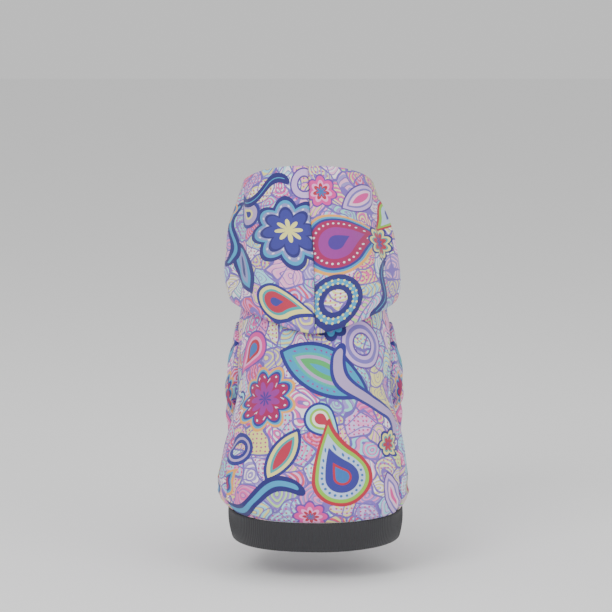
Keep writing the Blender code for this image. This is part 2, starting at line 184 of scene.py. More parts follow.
def ridges(table, sizes, along, angle):
    height = np.zeros_like(along)
    for atAngle, atAlong, turn, long, wide, share in table:
        apart = (angle - math.radians(atAngle) + math.pi) % (2 * math.pi) - math.pi
        level = apart * chestRadius
        down = (along - atAlong) * backRun
        turned = math.radians(turn)
        on = level * math.cos(turned) + down * math.sin(turned)
        off = down * math.cos(turned) - level * math.sin(turned)
        across = np.exp(-((off / (wide * sizes["width"])) ** 2))
        height += share * sizes["height"] * across * np.exp(-((on / (long * sizes["length"] / 2)) ** 4))
    return height


def bodyFold(along, angle):
    height = ridges(bodyFolds, foldSize, along, angle)
    gathered = ramp(along, gathers["start"], gathers["grow"]) * ramp(1 - along, 0, gathers["fade"])
    wave = np.cos(gathers["count"] * angle + gathers["drift"] * np.sin(3 * angle))
    return (height + gathered * gathers["height"] * wave) * ramp(1 - along, 0, foldFade)


def body(along, angle):
    fold = bodyFold(along, angle)[..., None]
    return plainBody(along, angle) + normalOf(plainBody, along, angle) * fold


def waviness(points, sizes):
    # soft unevenness of the cloth, from fractal noise at each point
    return np.array([noise.fractal(Vector(p) * (1 / sizes[0]), 1.0, 2.0, 2) for p in points]) * sizes[1]


def seamDip(distance, reach, depth):
    # cloth turns in towards a seam
    return -depth * np.exp(-((distance / reach) ** 2))


def makeSheet(name, grid, place, reverse=True, closed=False, thickness=size["cloth"], hole=None):
    # a grid of (across, down) faces, laid out by place(share down the cloth, share across it)
    columns, rows = grid
    sheet = bmesh.new()
    bmesh.ops.create_grid(sheet, x_segments=rows, y_segments=columns, size=0.5)
    if hole:
        cut = [v for v in sheet.verts if min(hole(v.co.x + 0.5, v.co.y + 0.5)) < 1]
        bmesh.ops.delete(sheet, geom=cut, context="VERTS")
        ragged = [v for v in sheet.verts if len(v.link_faces) < 2]
        bmesh.ops.delete(sheet, geom=ragged, context="VERTS")
    mesh = bpy.data.meshes.new(name)
    sheet.to_mesh(mesh)
    sheet.free()
    at = np.zeros(len(mesh.vertices) * 3, np.float32)
    mesh.vertices.foreach_get("co", at)
    at = at.reshape(-1, 3).astype(float) + 0.5
    points, flat, out = place(at[:, 0], at[:, 1])
    mesh.vertices.foreach_set("co", points.astype(np.float32).ravel())
    corners = np.zeros(len(mesh.loops), np.int32)
    mesh.loops.foreach_get("vertex_index", corners)
    mesh.uv_layers.new(name="flatCloth").data.foreach_set("uv", flat[corners].astype(np.float32).ravel())
    sheet = bmesh.new()
    sheet.from_mesh(mesh)
    sheet.verts.ensure_lookup_table()
    facing = sum(face.normal.dot(Vector(out[face.verts[0].index])) for face in sheet.faces)
    if facing < 0:
        bmesh.ops.reverse_faces(sheet, faces=sheet.faces)
    if closed:
        bmesh.ops.remove_doubles(sheet, verts=sheet.verts, dist=1e-6)
    sheet.to_mesh(mesh)
    sheet.free()
    mesh.shade_smooth()
    piece = bpy.data.objects.new(name, mesh)
    bpy.context.scene.collection.objects.link(piece)
    wall = piece.modifiers.new("wall", "SOLIDIFY")
    wall.thickness = thickness
    wall.offset = -1
    wall.use_quality_normals = True
    if reverse:
        wall.material_offset = 1
    return piece


# Body
bodyLook = {
    "backGrid": (112, 132),
    "chestGrid": (132, 116),
    "seamReach": 0.0035,
    "seamDepth": 0.0016,
    "hemReach": 0.0045,
    "hemDepth": 0.0012,
    "waves": (0.030, 0.0011),  # size and height, in metres
    "hemFade": 0.02,
    "neckFade": 0.05,
}
armholeSize = {
    "height": 0.100,
    "width": 0.114,
    "along": 0.44,
    "angle": math.radians(112),
    # the cloth this near the edge, as shares of the armhole, is drawn onto its outline
    "pullReach": 1.09,
    "pullFade": 0.045,
}


def flatRadius(along):
    return (widthAt(along) + depthAt(along)) / 4


def armholePlace(side, turn, scale=1.0):
    along = armholeSize["along"] + scale * armholeSize["height"] / 2 / backRun * np.sin(turn)
    angle = armholeSize["angle"] + scale * armholeSize["width"] / 2 / chestRadius * np.cos(turn)
    return along, side * angle


def panelAngles(overBack, u, w):
    seam = np.radians(curve(sections, 7, u))
    trim = size["seamGap"] / 2 / (size["widths"][1] / 2)
    if overBack:
        return (seam - trim) * (2 * w - 1)
    return (math.pi - seam - trim) * (2 * w - 1) + math.pi


def layPanel(overBack):
    def place(u, w):
        angle = panelAngles(overBack, u, w)
        plain = body(u, angle)
        out = normalOf(body, u, angle)
        radius = flatRadius(u)
        seam = np.radians(curve(sections, 7, u))
        toSeam = np.abs(np.abs((angle + math.pi) % (2 * math.pi) - math.pi) - seam) * radius
        toHem = (1 - u) * backRun
        height = ridges(fineFolds, fineFold, u, angle)
        height += waviness(plain, bodyLook["waves"])
        height *= ramp(toHem, 0, bodyLook["hemFade"]) * ramp(u, 0, bodyLook["neckFade"])
        height += seamDip(toSeam, bodyLook["seamReach"], bodyLook["seamDepth"])
        height += seamDip(toHem, bodyLook["hemReach"], bodyLook["hemDepth"])
        across = (angle if overBack else angle - math.pi) * radius
        return plain + out * height[..., None], np.stack((across, -u * backRun), -1), out

    return place


def fromArmhole(side, u, angle):
    # the armhole's middle angle, and how far off each point is, with 1 on the armhole's edge
    middle = side * armholeSize["angle"] % (2 * math.pi)
    level = (angle - middle) * chestRadius / (armholeSize["width"] / 2)
    rise = (u - armholeSize["along"]) * backRun / (armholeSize["height"] / 2)
    return middle, np.hypot(level, rise)


def armholeLevels(u, w):
    angle = panelAngles(False, np.array([u]), np.array([w]))
    return [float(fromArmhole(side, u, angle)[1][0]) for side in (1, -1)]


def layChest(u, w):
    # points of the cut edge are moved onto the armhole's outline
    angle = panelAngles(False, u, w)
    seam = np.radians(curve(sections, 7, u))
    for side in (1, -1):
        middle, far = fromArmhole(side, u, angle)
        share = ramp(armholeSize["pullReach"] - far, 0, armholeSize["pullFade"])
        pull = 1 + (1 / np.maximum(far, 0.5) - 1) * share
        angle = np.where(share > 0, middle + (angle - middle) * pull, angle)
        u = np.where(share > 0, armholeSize["along"] + (u - armholeSize["along"]) * pull, u)
    w = ((angle - math.pi) / (math.pi - seam) + 1) / 2
    return layPanel(False)(u, w)


backCloth = makeSheet("backCloth", bodyLook["backGrid"], layPanel(True))
chestCloth = makeSheet("chestCloth", bodyLook["chestGrid"], layChest, hole=armholeLevels)
print("body laid out")

# Hood
hoodLook = {
    "drop": 0.192,
    "fullness": 0.017,
    "rimRise": 0.006,
    "rollRise": 0.007,
    "rollDepth": 0.0062,
    "foldWidth": 0.020,
    "foldHeight": 0.007,
    "edgeAt": 0.58,
    "grid": (74, 104),
    "seamReach": 0.003,
    "seamDepth": 0.0012,
    "waves": (0.035, 0.0012),
    "rimHem": 0.018,
    "rimStep": 0.0006,
    # shares of the way round the profile over which the outer layer's details come and go
    "foldGrow": 0.10,
    "foldFade": 0.05,
    "layerGrow": 0.05,
    "stepAt": 0.70,
    "stepGrow": 0.02,
}
# angle in degrees, depth and fullness; the end rows mirror the ones inside them
hoodEdge = (
    (-20, 0.95, 1.04),
    (0, 1.00, 1.00),
    (20, 0.95, 1.04),
    (45, 0.82, 0.95),
    (65, 0.71, 0.88),
    (90, 0.60, 0.86),
    (120, 0.44, 0.80),
    (150, 0.31, 0.72),
    (180, 0.26, 0.65),
    (210, 0.31, 0.72),
)
# at, down, roll, rim, lie, stand
hoodProfile = (
    (0.00, 0.000, 0.00, 0.00, -0.24, 0.00),
    (0.04, 0.000, 0.62, 0.00, -0.20, 0.00),
    (0.08, 0.000, 1.00, 0.00, 0.36, 0.00),
    (0.12, 0.012, 0.66, 0.00, 0.86, 0.00),
    (0.20, 0.125, 0.00, 0.00, 0.88, 0.00),
    (0.36, 0.520, 0.00, 0.00, 0.82, 0.00),
    (0.48, 0.880, 0.00, 0.00, 0.80, 0.03),
    (0.54, 0.985, 0.00, 0.00, 0.60, 0.24),
    (0.58, 1.000, 0.00, 0.00, 0.36, 0.56),
    (0.63, 0.930, 0.00, 0.00, 0.10, 0.86),
    (0.74, 0.640, 0.00, 0.00, 0.00, 1.03),
    (0.86, 0.270, 0.00, 0.00, 0.00, 1.00),
    (0.92, 0.115, 0.00, 0.00, 0.00, 0.93),
    (0.96, 0.020, 0.00, 0.25, 0.00, 0.85),
    (1.00, 0.000, 0.00, 1.00, 0.00, 0.76),
)
# angle, share of the way up, turn from upright, length, width, height
hoodFolds = (
    (60, 0.42, 4, 0.30, 0.75, -0.95),
    (76, 0.38, 0, 0.30, 1.00, 0.70),
    (38, 0.74, -22, 0.26, 1.10, -0.50),
    (18, 0.40, 16, 0.30, 1.30, 0.40),
    (98, 0.55, 6, 0.22, 0.90, -0.60),
    (125, 0.55, 0, 0.20, 1.00, 0.60),
)
# small folds near the hood's lower corners and rim, in the same columns
hoodFineFolds = (
    (52, 0.16, 30, 0.12, 0.40, 0.22),
    (68, 0.20, 12, 0.14, 0.35, -0.20),
    (84, 0.22, -8, 0.12, 0.40, 0.20),
    (30, 0.12, 62, 0.14, 0.45, 0.16),
    (12, 0.62, 10, 0.20, 0.55, -0.12),
    (46, 0.88, -30, 0.10, 0.40, 0.14),
    (108, 0.40, 10, 0.12, 0.35, 0.22),
    (140, 0.50, -12, 0.12, 0.40, -0.20),
    (160, 0.45, 8, 0.12, 0.40, 0.18),
)


def hoodPoint(at, angle, fine=0.0):
    side = np.abs(np.degrees(angle))
    depth = curve(hoodEdge, 1, side) * hoodLook["drop"]
    fullness = curve(hoodEdge, 2, side) * hoodLook["fullness"]
    down, roll, rim, lie, stand = (curve(hoodProfile, column, at) for column in (1, 2, 3, 4, 5))
    below = down * depth - roll * hoodLook["rollRise"] - rim * hoodLook["rimRise"] - size["seamGap"]
    off = lie * hoodLook["rollDepth"] + stand * fullness
    outer = ramp(at, hoodLook["edgeAt"], hoodLook["foldGrow"]) * ramp(1 - at, 0, hoodLook["foldFade"])
    for table, share in ((hoodFolds, 1.0), (hoodFineFolds, fine)):
        if share == 0:
            continue
        for foldAngle, up, turn, long, wide, tall in table:
            level = np.radians(side - foldAngle) * chestRadius
            rise = (1 - down - up) * depth
            turned = math.radians(turn)
            on = rise * math.cos(turned) + level * math.sin(turned)
            away = level * math.cos(turned) - rise * math.sin(turned)
            ridge = np.exp(-((away / (wide * hoodLook["foldWidth"])) ** 2))
            ridge = ridge * np.exp(-((on / (long * hoodLook["drop"])) ** 4))
            off = off + outer * tall * share * hoodLook["foldHeight"] * ridge
    along = below / backRun
    return plainBody(along, angle) + normalOf(plainBody, along, angle) * off[..., None]


def layHood(side):
    start = size["seamGap"] / 2 / (size["widths"][0] / 2)

    def place(u, w):
        angle = side * (start + (math.pi - 2 * start) * w)

        def surface(at, turn):
            return hoodPoint(at, turn, 1.0)

        plain = surface(u, angle)
        out = -normalOf(surface, u, angle)
        ends = (w < 1e-6) | (w > 1 - 1e-6)
        out[:, 0] = np.where(ends, 0.0, out[:, 0])
        out /= length(out)
        outerLayer = ramp(u, hoodLook["edgeAt"], hoodLook["layerGrow"])
        toSeam = np.minimum(w, 1 - w) * math.pi * chestRadius
        height = waviness(plain, hoodLook["waves"]) * outerLayer * ramp(toSeam, 0, 0.01)
        height = height + size["cloth"] / 2
        height = height + seamDip(toSeam, hoodLook["seamReach"], hoodLook["seamDepth"]) * outerLayer
        down = curve(hoodProfile, 1, u)
        depth = curve(hoodEdge, 1, np.abs(np.degrees(angle))) * hoodLook["drop"]
        toRim = down * depth + (1 - curve(hoodProfile, 3, u)) * hoodLook["rimRise"]
        aboveHem = 1 - ramp(toRim, hoodLook["rimHem"], size["cloth"])
        step = ramp(u, hoodLook["stepAt"], hoodLook["stepGrow"]) * aboveHem
        height = height + step * hoodLook["rimStep"]
        # flat place: across from the middle seam, and up from the lower edge along the outer layer
        flatUp = np.where(u > hoodLook["edgeAt"], 1 - down, down - 1) * hoodLook["drop"]
        flatUp = flatUp + curve(hoodProfile, 3, u) * hoodLook["rimRise"] * outerLayer
        flat = np.stack((angle * chestRadius, flatUp), -1)
        return plain + out * height[..., None], flat, out

    return place


hoodCloths = {}
for name, side in (("hoodClothLeft", -1), ("hoodClothRight", 1)):
    hoodCloths[name] = makeSheet(name, hoodLook["grid"], layHood(side))
print("hood laid out")

# Sleeves
sleeveLook = {
    "cuffWidth": 0.072,
    "drop": 0.086,
    "reach": 0.046,
    "tuck": 0.018,
    "lift": 0.0034,
    "spread": 0.75,
    "spreadLeast": 0.25,
    "ease": 0.8,
    "pinch": math.radians(35),
    "tilt": math.radians(14),
    "edge": 1 / 9,
    "grid": (88, 72),
    # ruck folds round the sleeve: height, turns of the wave down it, and where they are deepest
    "rumple": 0.0016,
    "rumples": 24,
    "rumpleAt": 1.9,
    "waves": (0.022, 0.0010),
    # the folds keep off both ends: start and run, as shares of the length
    "grow": (0.03, 0.15),
    "fade": (0.02, 0.12),
    "flatShare": 1.3,
}


def sleevePoint(side, dropShare, turn, at):
    edge = body(*armholePlace(side, turn))
    out = normalOf(plainBody, *armholePlace(side, turn))
    inward = body(*armholePlace(side, turn, 0.9)) - edge
    inward = inward / length(inward)
    start = edge + inward * (size["sleeveGap"] + size["cloth"] / 2) - out * size["cloth"]
    lifted = start + out * (size["cloth"] + sleeveLook["lift"])
    t = np.clip((at - sleeveLook["edge"]) / (1 - sleeveLook["edge"]), 0, None)[..., None]
    middle = body(np.array([armholeSize["along"]]), np.array([side * armholeSize["angle"]]))
    hang = sleeveLook["drop"] * dropShare
    cuff = middle + np.array((-side * sleeveLook["tuck"], sleeveLook["reach"], -hang))
    backward = np.array((0, -math.cos(sleeveLook["tilt"]), -math.sin(sleeveLook["tilt"])))
    ring = np.cos(turn)[..., None] * np.array((-side, 0, 0)) + np.sin(turn)[..., None] * backward
    end = cuff + ring * (sleeveLook["cuffWidth"] - size["cloth"]) / 2
    run = end - lifted
    most = 0.5 + 0.5 * np.cos(turn - sleeveLook["pinch"])
    spread = sleeveLook["spread"] * (sleeveLook["spreadLeast"] + (1 - sleeveLook["spreadLeast"]) * most)
    leave = run * sleeveLook["ease"] + out * length(run) * spread[..., None]
    arrive = np.array((0, math.sin(sleeveLook["tilt"]), -math.cos(sleeveLook["tilt"]))) * length(run)
    tube = (
        lifted * (2 * t**3 - 3 * t**2 + 1)
        + leave * (t**3 - 2 * t**2 + t)
        + end * (3 * t**2 - 2 * t**3)
        + arrive * (t**3 - t**2)
    )
    inside = start + (lifted - start) * (at / sleeveLook["edge"])[..., None]
    return np.where((at < sleeveLook["edge"])[..., None], inside, tube)


def laySleeve(side, dropShare):
    def place(u, w):
        turn = 2 * math.pi * w

        def tube(at, around):
            return sleevePoint(side, dropShare, around, at)

        plain = tube(u, turn)
        out = normalOf(tube, u, turn) * side
        grow, fade = sleeveLook["grow"], sleeveLook["fade"]
        free = ramp(u, sleeveLook["edge"] + grow[0], grow[1]) * ramp(1 - u, *fade)
        sway = 1.3 * np.sin(turn + side) + 0.6 * np.sin(3 * turn)
        rumple = np.sin(u * sleeveLook["rumples"] + sway)
        rumple = rumple * (0.55 + 0.45 * np.cos(turn - sleeveLook["rumpleAt"]))
        height = free * sleeveLook["rumple"] * rumple
        height = height + free * waviness(plain, sleeveLook["waves"]) + size["cloth"] / 2
        radius = (armholeSize["width"] + armholeSize["height"]) / 4
        flatDown = -u * sleeveLook["drop"] * sleeveLook["flatShare"]
        return plain + out * height[..., None], np.stack((turn * radius, flatDown), -1), out

    return place


sleeveCloths = {}
for name, side, dropShare in (("sleeveClothLeft", -1, 1.04), ("sleeveClothRight", 1, 0.92)):
    place = laySleeve(side, dropShare)
    sleeveCloths[name] = makeSheet(name, sleeveLook["grid"], place, closed=True)
print("sleeves laid out")

# Hem band
bandLook = {
    "height": 0.033,
    "taper": 0.003,
    "grid": (432, 14),
    "crown": 0.0007,
    "sway": 0.00054,
    "sways": 5,
    "ribs": 216,
    "ribDepth": 0.00022,
}


def layBand(u, w):
    angle = 2 * math.pi * w
    end = np.ones_like(u)
    width, depth = widthAt(end), depthAt(end)
    pitch = np.radians(curve(sections, 3, end))
    corner = 1 + size["corner"] * np.sin(2 * angle) ** 2
    swell = bandLook["crown"] * (np.sin(math.pi * u) - 1)
    sway = np.sin(bandLook["sways"] * angle + 1.1 * np.sin(2 * angle))
    swell = swell + bandLook["sway"] * sway * u
    swell = swell + bandLook["ribDepth"] * np.cos(bandLook["ribs"] * angle) * np.sin(math.pi * u)
    draw = bandLook["taper"] * u**2 - swell
    across = (width / 2 * corner - draw) * np.sin(angle)
    inward = depth / 2 - (depth / 2 * corner - draw) * np.cos(angle)
    below = size["seamGap"] + u * bandLook["height"]
    points = np.stack(
        (
            curve(sections, 6, end) * size["widths"][1] + across,
            -curve(sections, 2, end) * size["backLean"]
            + inward * np.cos(pitch)
            - np.sin(pitch) * below,
            -curve(sections, 1, end) * size["backDrop"]
            - inward * np.sin(pitch)
            - np.cos(pitch) * below,
        ),
        -1,
    )
    out = np.stack((np.sin(angle), -np.cos(angle), np.zeros_like(angle)), -1)
    return points, np.stack((angle * (width + depth) / 4, -below), -1), out


bandCloth = makeSheet(
    "hemBandKnit",
    bandLook["grid"],
    layBand,
    reverse=False,
    closed=True,
    thickness=size["bandWall"],
)
print("hem band laid out")


# Materials
def colour(hexCode):
    parts = [int(hexCode[i : i + 2], 16) / 255 for i in (0, 2, 4)]
    return [p / 12.92 if p <= 0.04045 else ((p + 0.055) / 1.055) ** 2.4 for p in parts] + [1.0]


def addNode(tree, kind, inputs=None, output=0, **settings):
    made = tree.nodes.new(kind)
    for key, value in settings.items():
        setattr(made, key, value)
    for socket, value in (inputs or {}).items():
        if isinstance(value, bpy.types.NodeSocket):
            tree.links.new(value, made.inputs[socket])
        else:
            made.inputs[socket].default_value = value
    return made.outputs[output]


def addRamp(tree, factor, stops):
    # flat colours, each from its place on; a stop is (place, hex code or None for clear)
    made = addNode(tree, "ShaderNodeValToRGB", {0: factor}).node
    made.color_ramp.interpolation = "CONSTANT"
    while len(made.color_ramp.elements) < len(stops):
        made.color_ramp.elements.new(1.0)
    for element, (at, code) in zip(made.color_ramp.elements, stops):
        element.position = at
        element.color = colour(code) if code else (0, 0, 0, 0)
    return made.outputs[0]


mathNode = "ShaderNodeMath"
vectorNode = "ShaderNodeVectorMath"


def newGroup(name, inputs, outputs):
    tree = bpy.data.node_groups.new(name, "ShaderNodeTree")
    for label, kind in inputs:
        tree.interface.new_socket(label, in_out="INPUT", socket_type=kind)
    for label, kind in outputs:
        tree.interface.new_socket(label, in_out="OUTPUT", socket_type=kind)
    return tree, tree.nodes.new("NodeGroupInput"), tree.nodes.new("NodeGroupOutput")


# Outlines of the motifs, as shares of a motif's size.
shapeLook = {
    # a paisley's flanks touch its round foot and its tip; lean and rise are their direction
    "paisley": {"lean": 0.514, "rise": 0.858, "tall": 1.75, "tip": 0.10},
    "petal": 0.24,
    "wave": 0.24,
    "ribbon": {"half": 0.85, "wide": 0.17},
    "ring": {"middle": 0.70, "wide": 0.30},
}


def shapeGroup(kind):
    # distance from a shape's outline, below 0 inside, and the turn round its middle in turns
    tree, given, result = newGroup(
        kind + "Shape",
        (("Vector", "NodeSocketVector"), ("Size", "NodeSocketFloat"), ("Lobes", "NodeSocketFloat")),
        (("Distance", "NodeSocketFloat"), ("Turn", "NodeSocketFloat"), ("Radius", "NodeSocketFloat")),
    )
    big = given.outputs["Size"]
    lobes = given.outputs["Lobes"]
    over = addNode(tree, mathNode, {0: 1.0, 1: big}, operation="DIVIDE")
    local = addNode(tree, vectorNode, {0: given.outputs["Vector"], "Scale": over}, operation="SCALE")
    parts = addNode(tree, "ShaderNodeSeparateXYZ", {0: local}).node
    x, y = parts.outputs[0], parts.outputs[1]
    radius = addNode(tree, vectorNode, {0: local}, 1, operation="LENGTH")
    turn = addNode(tree, mathNode, {0: x, 1: y}, operation="ARCTAN2")
    if kind == "paisley":
        # a round foot that narrows to a bent tip: an uneven capsule on a bent line
        above = addNode(tree, mathNode, {0: y, 1: 0.0}, operation="MAXIMUM")
        squared = addNode(tree, mathNode, {0: above, 1: above}, operation="MULTIPLY")
        bend = addNode(tree, mathNode, {0: squared, 1: lobes}, operation="MULTIPLY")
        bent = addNode(tree, mathNode, {0: x, 1: bend}, operation="SUBTRACT")
        aside = addNode(tree, mathNode, {0: bent}, operation="ABSOLUTE")
        straight = addNode(tree, "ShaderNodeCombineXYZ", {0: aside, 1: y})
        lean, rise, tall, tip = shapeLook["paisley"].values()
        run = addNode(tree, vectorNode, {0: straight, 1: (-lean, rise, 0)}, 1, operation="DOT_PRODUCT")
        flank = addNode(tree, vectorNode, {0: straight, 1: (rise, lean, 0)}, 1, operation="DOT_PRODUCT")
        flank = addNode(tree, mathNode, {0: flank, 1: 1.0}, operation="SUBTRACT")
        foot = addNode(tree, vectorNode, {0: straight}, 1, operation="LENGTH")
        foot = addNode(tree, mathNode, {0: foot, 1: 1.0}, operation="SUBTRACT")
        point = addNode(tree, vectorNode, {0: straight, 1: (0, tall, 0)}, 1, operation="DISTANCE")
        point = addNode(tree, mathNode, {0: point, 1: tip}, operation="SUBTRACT")
        low = addNode(tree, mathNode, {0: run, 1: 0.0}, operation="LESS_THAN")
        high = addNode(tree, mathNode, {0: run, 1: rise * tall}, operation="GREATER_THAN")
        distance = addNode(tree, "ShaderNodeMix", {0: low, 2: flank, 3: foot}, data_type="FLOAT")
        distance = addNode(tree, "ShaderNodeMix", {0: high, 2: distance, 3: point}, data_type="FLOAT")
    elif kind == "rosette":
        petals = addNode(tree, mathNode, {0: turn, 1: lobes}, operation="MULTIPLY")
        petals = addNode(tree, mathNode, {0: petals, 1: 0.5}, operation="MULTIPLY")
        petals = addNode(tree, mathNode, {0: petals}, operation="COSINE")
        petals = addNode(tree, mathNode, {0: petals}, operation="ABSOLUTE")
        petal = {0: petals, 1: shapeLook["petal"], 2: 1 - shapeLook["petal"]}
        edge = addNode(tree, mathNode, petal, operation="MULTIPLY_ADD")
        distance = addNode(tree, mathNode, {0: radius, 1: edge}, operation="SUBTRACT")
    elif kind == "leaf":
        # two circles that cross
        aside = addNode(tree, mathNode, {0: x}, operation="ABSOLUTE")
        aside = addNode(tree, mathNode, {0: aside, 1: lobes}, operation="ADD")
        far = addNode(tree, "ShaderNodeCombineXYZ", {0: aside, 1: y})
        far = addNode(tree, vectorNode, {0: far}, 1, operation="LENGTH")
        reach = addNode(tree, mathNode, {0: lobes, 1: lobes, 2: 1.0}, operation="MULTIPLY_ADD")
        reach = addNode(tree, mathNode, {0: reach}, operation="SQRT")
        distance = addNode(tree, mathNode, {0: far, 1: reach}, operation="SUBTRACT")
    elif kind == "ribbon":
        # a wave with round ends
        wave = addNode(tree, mathNode, {0: x, 1: lobes}, operation="MULTIPLY")
        wave = addNode(tree, mathNode, {0: wave}, operation="SINE")
        low = {0: wave, 1: -shapeLook["wave"], 2: y}
        wave = addNode(tree, mathNode, low, operation="MULTIPLY_ADD")
        past = addNode(tree, mathNode, {0: x}, operation="ABSOLUTE")
        past = addNode(tree, mathNode, {0: past, 1: shapeLook["ribbon"]["half"]}, operation="SUBTRACT")
        past = addNode(tree, mathNode, {0: past, 1: 0.0}, operation="MAXIMUM")
        far = addNode(tree, "ShaderNodeCombineXYZ", {0: past, 1: wave})
        far = addNode(tree, vectorNode, {0: far}, 1, operation="LENGTH")
        distance = addNode(tree, mathNode, {0: far, 1: shapeLook["ribbon"]["wide"]}, operation="SUBTRACT")
    else:
        # a broad ring
        far = addNode(tree, mathNode, {0: radius, 1: shapeLook["ring"]["middle"]}, operation="SUBTRACT")
        far = addNode(tree, mathNode, {0: far}, operation="ABSOLUTE")
        distance = addNode(tree, mathNode, {0: far, 1: shapeLook["ring"]["wide"]}, operation="SUBTRACT")
    distance = addNode(tree, mathNode, {0: distance, 1: big}, operation="MULTIPLY")
    turns = addNode(tree, mathNode, {0: turn, 1: 1 / (2 * math.pi)}, operation="MULTIPLY")
    far = addNode(tree, mathNode, {0: radius, 1: big}, operation="MULTIPLY")
    tree.links.new(distance, result.inputs["Distance"])
    tree.links.new(turns, result.inputs["Turn"])
    tree.links.new(far, result.inputs["Radius"])
    return tree


shapes = {kind: shapeGroup(kind) for kind in ("paisley", "rosette", "leaf", "ribbon", "ring")}

# Bands of each motif from its outline inward: (depth in millimetres, hex colour).
rampSpan = 0.050  # metres from the outside to the ramp's end
rampEdge = 0.06
palettes = {
    "crimson": (
        (0, "B4243C"), (4.2, "8CC63F"), (8.2, "B9CCEA"),
        (15.5, "353690"), (24, "B4243C"), (26.5, "2F6CB4"),
    ),
    "lagoon": (
        (0, "2A2A80"), (4.6, "2F9CC6"), (13, "3CB4A0"),
        (16, "B49CCC"), (20, "4CAF60"), (26, "2F9CC6"),
    ),
    "lilac": (
        (0, "2C2C86"), (5.0, "B49CCC"), (12.5, "EAE28A"),
        (15.5, "2C2C86"), (20.0, "F5B0D8"),
    ),
    "navy": (
        (0, "262470"), (6.0, "3C9CCC"), (10.5, "8C8CC8"),
        (15.5, "262470"), (19.5, "353690"), (34, "EAE28A"),
    ),
    "berry": (
        (0, "F0A850"), (3.6, "3C9CCC"), (6.2, "30308A"),
        (9.2, "A01858"), (20, "952E90"), (31, "4A2A92"),
    ),
    "rose": (
        (0, "6A3CA0"), (2.4, "E0409A"), (7.5, "F5A0D8"),
        (11, "B4243C"), (15, "2F6CB4"),
    ),
    "sun": (
        (0, "2A2A80"), (3.6, "EAE28A"), (7.4, "2FA0A8"),
        (10.0, "B82B47"), (17, "3A3A96"),
    ),
    "orchid": (
        (0, "5A3C98"), (2.2, "D0B0E8"), (6.5, "7C6CC0"),
        (9.2, "F5C8E8"), (13, "E0409A"),
    ),
    "spring": (
        (0, "2C2C86"), (3.0, "8FE0F0"), (6.8, "8CC63F"),
        (9.6, "F0F0E0"), (12.6, "B82B47"),
    ),
}


# The pale ground: sizes in metres, lines and dots as shares of a cell or of a ring.
groundLook = {
    "cell": 0.027,
    "bend": 0.030,
    "bendScale": 28.0,
    "rings": 5.2,
    "ringLine": 0.075,
    "plainShare": 0.30,
    "dotPitch": 0.0052,
    "dot": 0.22,
    "dottedShare": 0.42,
    "outline": 0.045,
    "scrollScale": 17.0,
    "scrolls": 7.0,
    "scrollLine": 0.055,
}


